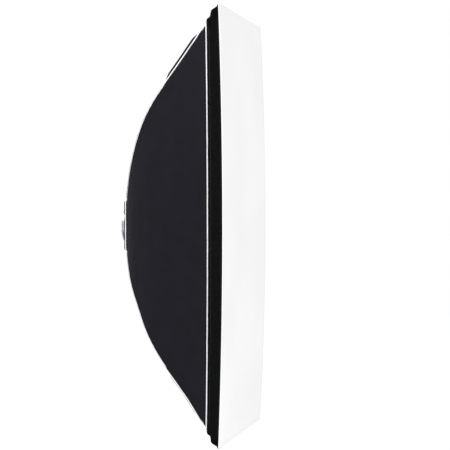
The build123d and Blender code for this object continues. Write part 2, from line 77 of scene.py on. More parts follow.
# ------------------------------------------------------------------ sizes taken from the model
front_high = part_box("front_diffuser")[1]
collar_low, collar_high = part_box("rear_collar")
baffle_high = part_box("inner_baffle")[1]
COLLAR_WALL = 1.2 * MM
FRONT_X = front_high[0]
FRONT_Z = front_high[2]
FRONT_DEPTH = -front_high[1] - 0.2 * MM
OPEN_X = collar_high[0] - COLLAR_WALL
OPEN_Z = collar_high[2] - COLLAR_WALL
OPEN_DEPTH = -collar_low[1] + 0.2 * MM
BAFFLE_X = baffle_high[0]
BAFFLE_Z = baffle_high[2]
BAFFLE_DEPTH = -baffle_high[1]

# ------------------------------------------------------------------ sizes of the sewn parts
HEM_RUN = 53 * MM
FABRIC = 0.6 * MM
HEM_FABRIC = 1.8 * MM
HEM_GAP = 0.2 * MM
RIM_FABRIC = 1.3 * MM
RIM_SINK = 0.15 * MM
PIPING = 1.9 * MM
PIPING_LIFT = 2.0 * MM
PIPING_SIDES = 10
SEAM_WANDER, FRONT_WANDER = 0.35 * MM, 0.5 * MM
FRONT_CLOTH = 0.4 * MM
MIDDLE_REACH = 0.6 * MM
STITCH_LENGTH = 3.0 * MM
STITCH_PITCH = 4.2 * MM
STITCH_WIDTH = 0.5 * MM
STRAP_WIDTH = 12 * MM
STRAP_THICKNESS = 1.0 * MM
STRAP_INNER = -8 * MM
STRAP_OUTER = 6 * MM
TAB_OUTER = 11.2 * MM
STRAP_ROW = 0.8
STUD_RADIUS = 4.0 * MM
STUD_HEIGHT = 1.6 * MM
POCKET_WALL = 1.0 * MM
POCKET_NOSE = 3.4 * MM
COLLAR_CORNER = 9.2 * MM
BAFFLE_CORNER = 25 * MM
BAFFLE_FABRIC = 0.5 * MM
# edges that turn by more than this stay crisp
CRISP = math.radians(50)
CORD_CRISP = math.radians(70)
# a point inside the box that all its cloths face away from
BOX_MIDDLE = Vector((0, -0.25, 0))

# ------------------------------------------------------------------ shape of the corner seams
SEAM_START = math.radians(8.0)
SEAM_END = math.radians(38.7)
SEAM_RUN = math.hypot(FRONT_X - OPEN_X, FRONT_Z - OPEN_Z)
ALONG_X = (FRONT_X - OPEN_X) / SEAM_RUN
ALONG_Z = (FRONT_Z - OPEN_Z) / SEAM_RUN
END_SLOPE = math.tan(SEAM_END)
ARC_RISE = math.cos(SEAM_START) - math.cos(SEAM_END)
ARC_REACH = math.sin(SEAM_END) - math.sin(SEAM_START)
SEAM_RADIUS = (SEAM_RUN * END_SLOPE - (FRONT_DEPTH - OPEN_DEPTH)) / (ARC_REACH * END_SLOPE - ARC_RISE)
HEM_START = SEAM_RUN - HEM_RUN
ARC_END = SEAM_RADIUS * ARC_REACH

# how far the middle of the long front edges stands forward and out of the line between corners
BOW_FORWARD = 15 * MM
BOW_OUT = 9 * MM
PIPING_BOW = 0.35
# how far the short panels swell between the rods
SWELL = 6 * MM
# upper rods stand proud of their ideal arc, lower ones sag a little at two places
PROUD = 6 * MM
PROUD_RUN, PROUD_REACH = 280 * MM, 120 * MM
SLACK = 3.6 * MM
SLACK_RUNS, SLACK_REACH = (185 * MM, 455 * MM), 60 * MM
# ridge of the rod's sleeve on the short panels: heights, where it runs, and where it lies
SLEEVE_UPPER, SLEEVE_LOWER = 14 * MM, 9 * MM
SLEEVE_START, SLEEVE_END, SLEEVE_EASE = 350 * MM, 535 * MM, 45 * MM
SLEEVE_INSET, SLEEVE_WIDTH = 13 * MM, 11 * MM
# corners are sharp along the rods and round off towards the front
PANEL_ROUND = 1.5 * MM
FRONT_ROUND = 6 * MM
# the hem stands proud at the corners, over the rod pockets
POCKET_BULGE = 7 * MM
POCKET_REACH = 17 * MM


def smooth(t):
    """Eased step from 0 to 1."""
    t = min(1.0, max(0.0, t))
    return t * t * (3 - 2 * t)


def hump(t, centre, width):
    """Rounded bump of height 1."""
    return math.exp(-(((t - centre) / width) ** 2))


def seam_depth(run):
    """Depth of the corner seam at a run: an arc that ends in a straight stretch."""
    if run >= ARC_END:
        return FRONT_DEPTH - (SEAM_RUN - run) * END_SLOPE
    across = run / SEAM_RADIUS + math.sin(SEAM_START)
    return OPEN_DEPTH + SEAM_RADIUS * (math.cos(SEAM_START) - math.sqrt(1 - across * across))


def seam_slope(run):
    """Depth gained per run."""
    if run >= ARC_END:
        return END_SLOPE
    across = run / SEAM_RADIUS + math.sin(SEAM_START)
    return across / math.sqrt(1 - across * across)


def half_width(run):
    """Half the width between the corner seams."""
    return OPEN_X + ALONG_X * run


def half_height(run):
    """Half the height between the corner seams."""
    return OPEN_Z + ALONG_Z * run


# ------------------------------------------------------------------ the four sides as surfaces
# each side: which way it faces along X and Z
SIDES = {"left": (-1, 0), "top": (0, 1), "right": (1, 0), "bottom": (0, -1)}


def is_long(side):
    return SIDES[side][0] != 0


def half_side(side, run):
    """Half the length of a side at a run."""
    return half_height(run) if is_long(side) else half_width(run)


def square_out(side, run):
    """Direction square to a side, outwards."""
    face_x, face_z = SIDES[side]
    lean = math.atan2(seam_slope(run), ALONG_X if is_long(side) else ALONG_Z)
    return Vector((face_x * math.sin(lean), math.cos(lean), face_z * math.sin(lean)))


def neighbour(side, across):
    """The side round the nearer corner."""
    if is_long(side):
        return "top" if across > 0 else "bottom"
    return "right" if across > 0 else "left"


def corner_radius(run):
    return PANEL_ROUND + (FRONT_ROUND - PANEL_ROUND) * smooth((run - HEM_START) / HEM_RUN)


def bow(run, across):
    """Share of the front edge's bow at a place on a long side."""
    middle = 1 - across * across
    if run <= HEM_START:
        return middle * PIPING_BOW * (run / HEM_START) ** 2
    return middle * (PIPING_BOW + (1 - PIPING_BOW) * (run - HEM_START) / HEM_RUN)


def stretch(run, first, last, ease):
    """1 between two runs, easing to 0 outside them."""
    return smooth((run - first) / ease) * smooth((last - run) / ease)


def seam_drift(run, upper):
    """How far a real rod stands off its ideal line: proud above, slightly slack below."""
    if upper:
        return PROUD * hump(run, PROUD_RUN, PROUD_REACH)
    return -SLACK * sum(hump(run, centre, SLACK_REACH) for centre in SLACK_RUNS)


def sleeve(run, upper, to_corner):
    """Ridge of the rod's sleeve on the short panels, beside the piping."""
    high = SLEEVE_UPPER if upper else SLEEVE_LOWER
    along = stretch(run, SLEEVE_START, SLEEVE_END, SLEEVE_EASE)
    return high * along * hump(to_corner, SLEEVE_INSET, SLEEVE_WIDTH) * smooth(to_corner / (6 * MM))


def swell(run, across):
    """Height of a short side's swelling between its rods."""
    rise = smooth(run / (0.6 * SEAM_RUN)) * smooth((SEAM_RUN - run) / (1.2 * HEM_RUN))
    return SWELL * (1 - across * across) * rise


def place(side, run, across, lift=0.0):
    """Point on a side, lifted square to it and mitred with the next side at the corners."""
    face_x, face_z = SIDES[side]
    radius = corner_radius(run)
    to_corner = (1 - abs(across)) * half_side(side, run)
    turn = math.pi / 4 * max(0.0, 1 - to_corner / radius)
    sign = 1 if across > 0 else -1
    if turn > 0:
        along = sign * (half_side(side, run) - radius + radius * math.sin(turn))
    else:
        along = across * half_side(side, run)
    inwards = radius * (1 - math.cos(turn))
    if is_long(side):
        share = bow(run, across)
        x = face_x * (half_width(run) + BOW_OUT * share - inwards)
        point = Vector((x, -(seam_depth(run) + BOW_FORWARD * share), along))
    else:
        lift += swell(run, across)
        point = Vector((along, -seam_depth(run), face_z * (half_height(run) - inwards)))
    upper = point.z > 0
    if not is_long(side):
        lift += sleeve(run, upper, to_corner)
    seam_lean = math.atan(seam_slope(run))
    share = smooth(abs(across)) if is_long(side) else 1.0
    drift = seam_drift(run, upper) * share
    out = drift * math.sin(seam_lean)
    wide, tall = (face_x, across) if is_long(side) else (across, face_z)
    point += Vector((wide * out * ALONG_X, drift * math.cos(seam_lean), tall * out * ALONG_Z))
    own = square_out(side, run)
    other = square_out(neighbour(side, across), run)
    mix = 0.5 * (1 - smooth(to_corner / max(radius, 5 * MM)))
    heading = (own * (1 - mix) + other * mix).normalized()
    return point + heading * (lift / heading.dot(own))


def profile_length(side, first, last):
    """Length of a side's profile between two runs."""
    along = ALONG_X if is_long(side) else ALONG_Z
    steps = 40
    total = 0.0
    for i in range(steps):
        low = first + (last - first) * i / steps
        high = first + (last - first) * (i + 1) / steps
        total += math.hypot(seam_depth(high) - seam_depth(low), along * (high - low))
    return total


def across_steps(half, wide):
    """Places across a side, close together near its corners: half is half its length."""
    near = [0, 0.75, 1.5, 3, 4.5, 6, 9, 13, 18, 25, 35]
    shares = [1 - d * MM / half for d in near]
    rest = shares[-1]
    count = max(2, round(rest * half / wide))
    shares += [rest * (1 - i / count) for i in range(1, count + 1)]
    return [-s for s in shares[:-1]] + [0.0] + shares[:-1][::-1]


LONG_STEPS = across_steps(FRONT_Z, 12 * MM)
SHORT_STEPS = across_steps(FRONT_X, 8 * MM)


def round_the_box():
    """Places round all four sides, each corner once."""
    trip = [("left", a) for a in LONG_STEPS[:-1]]
    trip += [("top", a) for a in SHORT_STEPS[:-1]]
    trip += [("right", a) for a in LONG_STEPS[:0:-1]]
    trip += [("bottom", a) for a in SHORT_STEPS[:0:-1]]
    return trip


TRIP = round_the_box()


def waves(a, b, seed):
    """Slow irregular waves, about -1 to 1."""
    return noise.noise(Vector((a, b, seed)))


# ------------------------------------------------------------------ mesh helpers
def new_object(name, verts, faces, uvs=None, materials=()):
    """Mesh object with smooth faces, and a UV map in metres where uvs gives one point per vertex."""
    mesh = bpy.data.meshes.new(name)
    mesh.from_pydata([tuple(v) for v in verts], [], faces)
    if uvs is not None:
        layer = mesh.uv_layers.new(name="cloth")
        for loop in mesh.loops:
            layer.data[loop.index].uv = uvs[loop.vertex_index]
    mesh.polygons.foreach_set("use_smooth", [True] * len(mesh.polygons))
    for material in materials:
        mesh.materials.append(material)
    obj = bpy.data.objects.new(name, mesh)
    bpy.context.collection.objects.link(obj)
    return obj


def grid_faces(rows, columns, closed=False):
    """Quads of a grid of rows by columns, closed round its columns or not."""
    faces = []
    for i in range(rows - 1):
        for j in range(columns if closed else columns - 1):
            a, b = i * columns + j, i * columns + (j + 1) % columns
            faces.append((a, b, b + columns, a + columns))
    return faces


def turn_outwards(obj):
    """Makes the faces of a sheet look away from the middle of the box."""
    shape = bmesh.new()
    shape.from_mesh(obj.data)
    bmesh.ops.recalc_face_normals(shape, faces=shape.faces)
    shape.to_mesh(obj.data)
    shape.free()
    total = sum(p.normal.dot(p.center - BOX_MIDDLE) * p.area for p in obj.data.polygons)
    if total < 0:
        obj.data.flip_normals()


def thicken(obj, thickness, offset, lining=0):
    """Gives a sheet its thickness, inwards at offset -1 and outwards at 1; its cut edges stay crisp."""
    solid = obj.modifiers.new("thickness", "SOLIDIFY")
    solid.thickness = thickness
    solid.offset = offset
    solid.material_offset = lining
    bpy.context.view_layer.update()
    graph = bpy.context.evaluated_depsgraph_get()
    mesh = bpy.data.meshes.new_from_object(obj.evaluated_get(graph))
    old = obj.data
    obj.modifiers.clear()
    obj.data = mesh
    bpy.data.meshes.remove(old)
    obj.data.set_sharp_from_angle(angle=CRISP)


def finish_mesh(obj, thickness, lining=0):
    """Turns a sheet outwards and gives it its thickness inwards."""
    turn_outwards(obj)
    thicken(obj, thickness, -1, lining)
    return obj


def open_loops(verts, faces):
    """Loops of the open edges that lie on the cut at the middle, as faces that close it."""
    used = {}
    for face in faces:
        for a, b in zip(face, face[1:] + face[:1]):
            used[(a, b)] = True
    after = {b: a for a, b in used if (b, a) not in used and on_cut(verts[a]) and on_cut(verts[b])}
    loops = []
    while after:
        first, here = after.popitem()
        loop = [first, here]
        while here in after:
            here = after.pop(here)
            if here != first:
                loop.append(here)
        if len(loop) > 2:
            loops.append(loop)
    return loops


def on_cut(point):
    """Whether a point lies on the cut at the middle."""
    return abs(point.z) < 1e-6


def split_at_middle(whole):
    """Cuts a finished piece at its middle row into an upper and a lower one that shade as one."""
    mesh = whole.data
    for v in mesh.vertices:
        if abs(v.co.z) < MIDDLE_REACH:
            v.co.z = 0.0
    normals = [tuple(n.vector) for n in mesh.corner_normals]
    layer = mesh.uv_layers[0].data if mesh.uv_layers else None
    halves = {}
    for half, word in ((1, "upper"), (-1, "lower")):
        index, verts, faces, uvs, corners, slots = {}, [], [], [], [], []
        for polygon in mesh.polygons:
            if half * polygon.center.z <= 0:
                continue
            face = []
            for v, loop in zip(polygon.vertices, polygon.loop_indices):
                if v not in index:
                    index[v] = len(verts)
                    verts.append(mesh.vertices[v].co.copy())
                face.append(index[v])
                corners.append(normals[loop])
                if layer:
                    uvs.append(layer[loop].uv.copy())
            faces.append(face)
            slots.append(polygon.material_index)
        for loop in open_loops(verts, faces):
            faces.append(loop)
            slots.append(0)
            corners += [(0, 0, -half)] * len(loop)
            uvs += [(verts[v].x, verts[v].y) for v in loop]
        obj = new_object(f"{whole.name}_{word}", verts, faces, None, mesh.materials)
        obj.data.polygons.foreach_set("material_index", slots)
        if layer:
            copied = obj.data.uv_layers.new(name="cloth")
            for i, uv in enumerate(uvs):
                copied.data[i].uv = uv
        obj.data.normals_split_custom_set(corners)
        halves[half] = obj
    bpy.data.objects.remove(whole)
    return halves


def cord(name, path, radius, sides, material, closed=False):
    """Round cord along a list of points, with a UV map round and along it in metres."""
    verts, uvs, faces = [], [], []
    count = len(path)
    length = 0.0
    side = None
    for i, centre in enumerate(path):
        before = path[i - 1] if i or closed else path[i]
        after = path[(i + 1) % count] if i < count - 1 or closed else path[i]
        heading = (after - before).normalized()
        if side is None:
            side = heading.orthogonal()
        side = (side - heading * side.dot(heading)).normalized()
        other = heading.cross(side)
        if i:
            length += (centre - path[i - 1]).length
        for k in range(sides):
            turn = 2 * math.pi * k / sides
            verts.append(centre + radius * (math.cos(turn) * side + math.sin(turn) * other))
            uvs.append((radius * turn, length))
    rings = count if closed else count - 1
    for i in range(rings):
        a, b = i * sides, ((i + 1) % count) * sides
        last = closed and i == count - 1
        shift = nearest_turn(verts, a, b, sides) if last else 0
        for k in range(sides):
            low, high = (k + shift) % sides, (k + 1 + shift) % sides
            faces.append((a + k, b + low, b + high, a + (k + 1) % sides))
    if not closed:
        faces.append(tuple(range(sides)))
        faces.append(tuple(reversed(range((count - 1) * sides, count * sides))))
    obj = new_object(name, verts, faces, uvs, [material])
    obj.data.set_sharp_from_angle(angle=CORD_CRISP)
    return obj


def nearest_turn(verts, a, b, sides):
    """How many steps the last ring of a closed cord is turned against its first."""
    spans = [(verts[a] - verts[b + k]).length for k in range(sides)]
    return spans.index(min(spans))


def stitches(name, seams, material):
    """Short stitches along seams; each seam is a list of (point, outward direction)."""
    verts, faces = [], []
    for seam in seams:
        walked = 0.0
        next_stitch = STITCH_PITCH / 2
        for (a, out), (b, _) in zip(seam, seam[1:]):
            span = (b - a).length
            while next_stitch < walked + span:
                centre = a.lerp(b, (next_stitch - walked) / span)
                along = (b - a).normalized()
                wide = along.cross(out).normalized()
                base = len(verts)
                for e, h in ((-0.5, 0.0), (-0.25, 1.0), (0.25, 1.0), (0.5, 0.0)):
                    for w in (-0.5, 0.5):
                        verts.append(
                            centre
                            + along * (e * STITCH_LENGTH)
                            + wide * (w * STITCH_WIDTH)
                            + out * (h * 0.6 * STITCH_WIDTH)
                        )
                for k in (0, 2, 4):
                    faces.append((base + k, base + k + 1, base + k + 3, base + k + 2))
                next_stitch += STITCH_PITCH
            walked += span
    obj = new_object(name, verts, faces, None, [material])
    for p in obj.data.polygons:
        p.use_smooth = False
    return obj


# ------------------------------------------------------------------ material helpers
def linear(code):
    """sRGB hex such as 1a2b3c as linear RGBA."""
    values = [int(code[i : i + 2], 16) / 255 for i in (0, 2, 4)]
    return [v / 12.92 if v <= 0.04045 else ((v + 0.055) / 1.055) ** 2.4 for v in values] + [1.0]


def add(tree, kind, settings=None, **inputs):
    """Adds a node, sets its settings and its inputs; an input given as a socket is linked."""
    made = tree.nodes.new(kind)
    for key, value in (settings or {}).items():
        setattr(made, key, value)
    for key, value in inputs.items():
        socket = made.inputs[int(key[1:])] if key[1:].isdigit() else made.inputs[key.replace("_", " ")]
        if isinstance(value, bpy.types.NodeSocket):
            tree.links.new(value, socket)
        else:
            socket.default_value = value
    return made


def start(name):
    """New material, its node tree and its shader."""
    material = bpy.data.materials.new(name)
    material.use_nodes = True
    tree = material.node_tree
    return material, tree, tree.nodes["Principled BSDF"]


def wave_scale(period):
    """Wave texture scale for bands that repeat at this distance."""
    return 2 * math.pi / 20 / period


def weave(tree, period):
    """Height of a plain weave, threads over and under, drawn at the given spacing."""
    cloth = add(tree, "ShaderNodeTexCoord").outputs["UV"]
    scale = wave_scale(period)
    warp = add(tree, "ShaderNodeTexWave", {"bands_direction": "X"}, Vector=cloth, Scale=scale)
    weft = add(tree, "ShaderNodeTexWave", {"bands_direction": "Y"}, Vector=cloth, Scale=scale)
    both = {"operation": "MULTIPLY"}
    return add(
        tree, "ShaderNodeMath", both, i0=warp.outputs["Fac"], i1=weft.outputs["Fac"]
    ).outputs[0]


def grain(tree, size, detail=3.0):
    """Irregular height with features of this size."""
    where = add(tree, "ShaderNodeTexCoord").outputs["Object"]
    return add(tree, "ShaderNodeTexNoise", Vector=where, Scale=1 / size, Detail=detail).outputs["Fac"]


def two_tones(tree, dark, light, size, detail=3.0):
    """Colour that wanders between two tones over patches of this size."""
    ramp = add(tree, "ShaderNodeValToRGB", Fac=grain(tree, size, detail))
    ramp.color_ramp.elements[0].position = 0.3
    ramp.color_ramp.elements[0].color = linear(dark)
    ramp.color_ramp.elements[1].position = 0.7
    ramp.color_ramp.elements[1].color = linear(light)
    return ramp.outputs["Color"]


def relief(tree, shader, height, depth, strength, under=None):
    """Bumps of this depth on the shader, on top of an earlier relief."""
    made = add(tree, "ShaderNodeBump", Height=height, Distance=depth, Strength=strength)
    if under is not None:
        tree.links.new(under, made.inputs["Normal"])
    tree.links.new(made.outputs["Normal"], shader.inputs["Normal"])
    return made.outputs["Normal"]


# ------------------------------------------------------------------ cloth
def black_polyester():
    """Woven polyester, dyed black: dull, faintly blue; the weave is drawn at 1.4 mm so that it shows."""
    material, tree, shader = start("woven_polyester_black")
    tree.links.new(two_tones(tree, "0b0a12", "0f0e17", 40 * MM), shader.inputs["Base Color"])
    shader.inputs["Roughness"].default_value = 0.72
    shader.inputs["Specular IOR Level"].default_value = 0.12
    creased = relief(tree, shader, grain(tree, 70 * MM, 4.0), 4 * MM, 0.2)
    relief(tree, shader, weave(tree, 1.4 * MM), 0.2 * MM, 0.55, creased)
    return material


def silver_lining():
    """Aluminium-coated polyester, the reflecting inside of the box: bright, with a soft metal gloss."""
    material, tree, shader = start("aluminium_coated_lining")
    tree.links.new(two_tones(tree, "c6c9cd", "d4d6da", 90 * MM), shader.inputs["Base Color"])
    shader.inputs["Metallic"].default_value = 0.75
    shader.inputs["Roughness"].default_value = 0.38
    creased = relief(tree, shader, grain(tree, 45 * MM, 5.0), 4 * MM, 0.35)
    relief(tree, shader, weave(tree, 1.4 * MM), 0.1 * MM, 0.4, creased)
    return material


def loop_tape():
    """Brushed nylon loop tape: neutral black, fuzzy, no gloss."""
    material, tree, shader = start("brushed_nylon_loop_tape")
    tree.links.new(two_tones(tree, "060606", "0c0c0c", 12 * MM), shader.inputs["Base Color"])
    shader.inputs["Roughness"].default_value = 0.95
    shader.inputs["Specular IOR Level"].default_value = 0.06
    rolled = relief(tree, shader, grain(tree, 25 * MM), 2 * MM, 0.3)
    relief(tree, shader, grain(tree, 1.1 * MM, 2.0), 0.4 * MM, 0.7, rolled)
    return material


def binding_tape():
    """Folded grosgrain binding sewn along the hem's edges: darker black, ribbed, with little gloss."""
    material, tree, shader = start("grosgrain_binding_black")
    tree.links.new(two_tones(tree, "040404", "080809", 15 * MM), shader.inputs["Base Color"])
    shader.inputs["Roughness"].default_value = 0.7
    shader.inputs["Specular IOR Level"].default_value = 0.05
    relief(tree, shader, weave(tree, 1.2 * MM), 0.2 * MM, 0.6)
    return material


def white_ripstop(name, dark, light):
    """White ripstop nylon that spreads the light: even, matt, with its reinforcing threads at 5 mm."""
    material, tree, shader = start(name)
    tree.links.new(two_tones(tree, dark, light, 250 * MM, 1.0), shader.inputs["Base Color"])
    shader.inputs["Roughness"].default_value = 0.7
    shader.inputs["Specular IOR Level"].default_value = 0.25
    creased = relief(tree, shader, grain(tree, 120 * MM, 2.0), 4 * MM, 0.15)
    relief(tree, shader, weave(tree, 5 * MM), 0.08 * MM, 0.3, creased)
    return material


def silver_piping():
    """Piping: a cord wrapped in silver-coated tape, light grey with a soft gloss."""
    material, tree, shader = start("silver_coated_piping")
    tree.links.new(two_tones(tree, "dedee2", "f6f6f8", 18 * MM), shader.inputs["Base Color"])
    shader.inputs["Metallic"].default_value = 0.1
    shader.inputs["Roughness"].default_value = 0.45
    relief(tree, shader, weave(tree, 1.2 * MM), 0.15 * MM, 0.6)
    return material


def woven_webbing():
    """Black woven elastic: ribs across, threads with a slight gloss."""
    material, tree, shader = start("woven_elastic_black")
    tree.links.new(two_tones(tree, "111113", "1b1b1e", 8 * MM), shader.inputs["Base Color"])
    shader.inputs["Roughness"].default_value = 0.6
    relief(tree, shader, weave(tree, 1.6 * MM), 0.25 * MM, 0.6)
    return material


def sewing_thread():
    """Polyester thread, black: a touch brighter than the cloth, with a silky gloss."""
    material, tree, shader = start("polyester_thread_black")
    tree.links.new(two_tones(tree, "26252b", "34333a", 5 * MM), shader.inputs["Base Color"])
    shader.inputs["Roughness"].default_value = 0.5
    relief(tree, shader, grain(tree, 0.5 * MM), 0.1 * MM, 0.5)
    return material


# ------------------------------------------------------------------ hard materials
def hard(name, tones, patch, metallic, roughness, grain_size, grain_depth, coat=0.0):
    """Hard finish: two close tones in patches, and a grain of the given size and depth."""
    material, tree, shader = start(name)
    tree.links.new(two_tones(tree, tones[0], tones[1], patch), shader.inputs["Base Color"])
    shader.inputs["Metallic"].default_value = metallic
    shader.inputs["Roughness"].default_value = roughness
    shader.inputs["Coat Weight"].default_value = coat
    relief(tree, shader, grain(tree, grain_size), grain_depth, 0.5)
    return material


PANEL = black_polyester()
LINING = silver_lining()
LOOP = loop_tape()
BINDING = binding_tape()
DIFFUSION = white_ripstop("white_ripstop_front", "eeeeef", "f2f2f3")
WHITE_THREAD = white_ripstop("polyester_thread_white", "e6e6e6", "f2f2f2")
INNER_WHITE = white_ripstop("white_ripstop_inner", "e2e2e3", "ececed")
PIPING_TAPE = silver_piping()
WEBBING = woven_webbing()
THREAD = sewing_thread()

# name, two tones, their patch, metallic, roughness, grain, its depth and any coat
HARD = {
    # die-cast alloy, turned bare: pale grey, fine grain
    "cast_alloy": hard("die_cast_alloy", ("9a9ca0", "b4b6ba"), 20 * MM, 1.0, 0.34, 0.8 * MM, 0.03 * MM),
    # black epoxy powder coat: slight orange peel, half matt
    "black_casting": hard("powder_coat", ("141416", "1d1d20"), 30 * MM, 0.0, 0.42, 1.5 * MM, 0.08 * MM, 0.2),
    # acetal, machined: milky white, waxy
    "bearing_plastic": hard("acetal", ("dcdcd6", "e9e9e4"), 20 * MM, 0.0, 0.35, 1 * MM, 0.02 * MM),
    # moulded nylon, dyed red: fine spark texture
    "button_plastic": hard("moulded_nylon", ("8e1712", "a81f18"), 10 * MM, 0.0, 0.45, 0.6 * MM, 0.04 * MM),
    # moulded rubber, matt
    "tip_rubber": hard("moulded_rubber", ("161616", "232323"), 8 * MM, 0.0, 0.8, 0.7 * MM, 0.04 * MM),
    # anodised alloy, bead-blasted: mid grey, satin
    "socket_alloy": hard("anodised_alloy", ("6d7075", "80838a"), 10 * MM, 1.0, 0.4, 0.6 * MM, 0.03 * MM),
    # drawn spring steel, oiled: darker grey, fine scratches
    "spring_steel": hard("spring_steel", ("7a7c80", "93959a"), 10 * MM, 1.0, 0.3, 0.5 * MM, 0.02 * MM),
    # zinc-plated steel: bright, slightly blue
    "screw_steel": hard("zinc_plated_steel", ("a0a4aa", "b8bcc2"), 4 * MM, 1.0, 0.28, 0.5 * MM, 0.02 * MM),
    # black enamelled press studs: hard gloss
    "stud_metal": hard("enamelled_steel", ("101012", "19191c"), 6 * MM, 0.0, 0.3, 1 * MM, 0.02 * MM, 0.5),
}
for row in frame["record"]["subparts"]:
    if row["material_slot"] in HARD:
        solid = frame["nodes"][row["node"]]
        solid.data.materials.clear()
        solid.data.materials.append(HARD[row["material_slot"]])


# ------------------------------------------------------------------ where the pieces go: baked in place, or hung on the ring
RING = "turning_ring"
WORD = {1: "upper", -1: "lower"}
CORNERS = ((-1, 1, "upper_left"), (1, 1, "upper_right"), (-1, -1, "lower_left"), (1, -1, "lower_right"))


def follow_fold(obj, half, slot_name, *nodes):
    """Bakes the piece's placement into its mesh and hides the model parts it stands in for."""
    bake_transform(obj)
    if nodes:
        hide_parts(*nodes)
    return obj


def stay_on_ring(obj, slot_name, *nodes):
    """Piece that turns with the ring and doesn't bend."""
    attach(obj, RING)
    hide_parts(*nodes)
    return obj


# ------------------------------------------------------------------ side panels
PANEL_LENGTH = {side: profile_length(side, 0, HEM_START) for side in SIDES}
SEWN_DEPTH, SEWN_REACH = 0.9 * MM, 5 * MM
PUCKER_HEIGHT, PUCKER_PITCH, PUCKER_REACH = 0.7 * MM, 9 * MM, 20 * MM
CREASE_HEIGHT, CREASE_PITCH, CREASE_LENGTH = 1.6 * MM, 55 * MM, 240 * MM
STITCH_INSET = 4.5 * MM


def panel_lift(side, run, across):
    """Surface detail of a panel: sewn down beside the piping, puckered there, and slow creases."""
    along = across * half_side(side, run)
    to_corner = (1 - abs(across)) * half_side(side, run)
    to_hem = (HEM_START - run) / HEM_START * PANEL_LENGTH[side]
    sewn = -SEWN_DEPTH * (hump(to_corner, 0, SEWN_REACH) + hump(to_hem, 0, SEWN_REACH))
    pucker = math.exp(-to_hem / PUCKER_REACH) * waves(along / PUCKER_PITCH, 0.0, 5.1)
    pucker += math.exp(-to_corner / PUCKER_REACH) * waves(run / PUCKER_PITCH, 0.0, 7.7)
    face_x, face_z = SIDES[side]
    creases = waves(run / CREASE_PITCH + 3 * face_x, along / CREASE_LENGTH + 5 * face_z, 2.3)
    free = smooth(to_corner / (60 * MM)) * smooth(run / (80 * MM))
    return sewn + PUCKER_HEIGHT * pucker * smooth(run / (60 * MM)) + CREASE_HEIGHT * creases * free


def panel_area(side):
    """True area of a panel, which tapers from the hem to the ring."""
    slices = 60
    widths = [half_side(side, HEM_START * (i + 0.5) / slices) for i in range(slices)]
    return 2 * sum(widths) / slices * PANEL_LENGTH[side]


def panel_rows():
    """Shares of a panel's run at which its mesh has a row: even, then close beside the front piping."""
    rows = [i / 56 for i in range(54)]
    return rows + [1 - d * MM / PANEL_LENGTH["left"] for d in (12, 9, 6.5, 4.5, 3, 1.5, 0)]


def make_panel(side):
    """One side of the box, from the rear opening to the front piping."""
    rows = panel_rows()
    steps = LONG_STEPS if is_long(side) else SHORT_STEPS
    verts, uvs = [], []
    for r in rows:
        run = HEM_START * r
        walked = profile_length(side, 0, run)
        for across in steps:
            verts.append(place(side, run, across, panel_lift(side, run, across)))
            uvs.append((across * half_side(side, run), walked))
    faces = grid_faces(len(rows), len(steps))
    cloth = new_object(f"{side}_panel_cloth", verts, faces, uvs, [PANEL, LINING])
    return finish_mesh(cloth, FABRIC, 1)


def seam_line(side, across_of, run_of, lift, count):
    """Points along a side, with the direction out of it."""
    line = []
    for i in range(count + 1):
        t = i / count
        run, across = run_of(t), across_of(t)
        line.append((place(side, run, across, lift), square_out(side, run)))
    return line


def panel_seams(side, half):
    """Stitch rows of a panel's upper or lower half: beside the front piping and beside the rods."""
    lift = -0.3 * MM
    last = HEM_START - STITCH_INSET * HEM_START / PANEL_LENGTH[side]

    def run_of(t):
        return 0.05 * HEM_START + 0.93 * HEM_START * t

    if is_long(side):
        seams = [seam_line(side, lambda t: half * (0.002 + 0.99 * t), lambda t: last, lift, 60)]
        signs = (half,)
    else:
        seams = [seam_line(side, lambda t: 0.97 * (2 * t - 1), lambda t: last, lift, 60)]
        signs = (-1, 1)
    for sign in signs:

        def beside(t, sign=sign):
            return sign * (1 - STITCH_INSET / half_side(side, run_of(t)))

        seams.append(seam_line(side, beside, run_of, lift, 60))
    return seams


def make_panels():
    """The four sides of the box, the long ones cut at the middle, with their stitching."""
    for side in ("left", "right"):
        for half, cloth in split_at_middle(make_panel(side)).items():
            follow_fold(cloth, half, "panel_cloth", f"{side}_panel")
            sewn = stitches(f"{side}_panel_stitching_{WORD[half]}", panel_seams(side, half), THREAD)
            follow_fold(sewn, half, "panel_cloth")
            panel_area(side) / 2
    for side, half in (("top", 1), ("bottom", -1)):
        cloth = follow_fold(make_panel(side), half, "panel_cloth", f"{side}_panel")
        sewn = stitches(f"{side}_panel_stitching", panel_seams(side, half), THREAD)
        follow_fold(sewn, half, "panel_cloth")
        panel_area(side)


# ------------------------------------------------------------------ piping
def make_seam_pipings():
    """Piping along the four rods, from just outside the collar to the hem."""
    first, last = 10 * MM, HEM_START - 6 * MM
    steps = 120
    for side_x, across, word in CORNERS:
        side = "left" if side_x < 0 else "right"
        path = []
        for i in range(steps + 1):
            run = first + (last - first) * i / steps
            wander = SEAM_WANDER * waves(run / (30 * MM), 0.0, 9.0 + across)
            path.append(place(side, run, across, PIPING_LIFT + wander))
        piece = cord(f"seam_piping_{word}_cord", path, PIPING, PIPING_SIDES, PIPING_TAPE)
        follow_fold(piece, across, "piping", f"seam_piping_{word}")


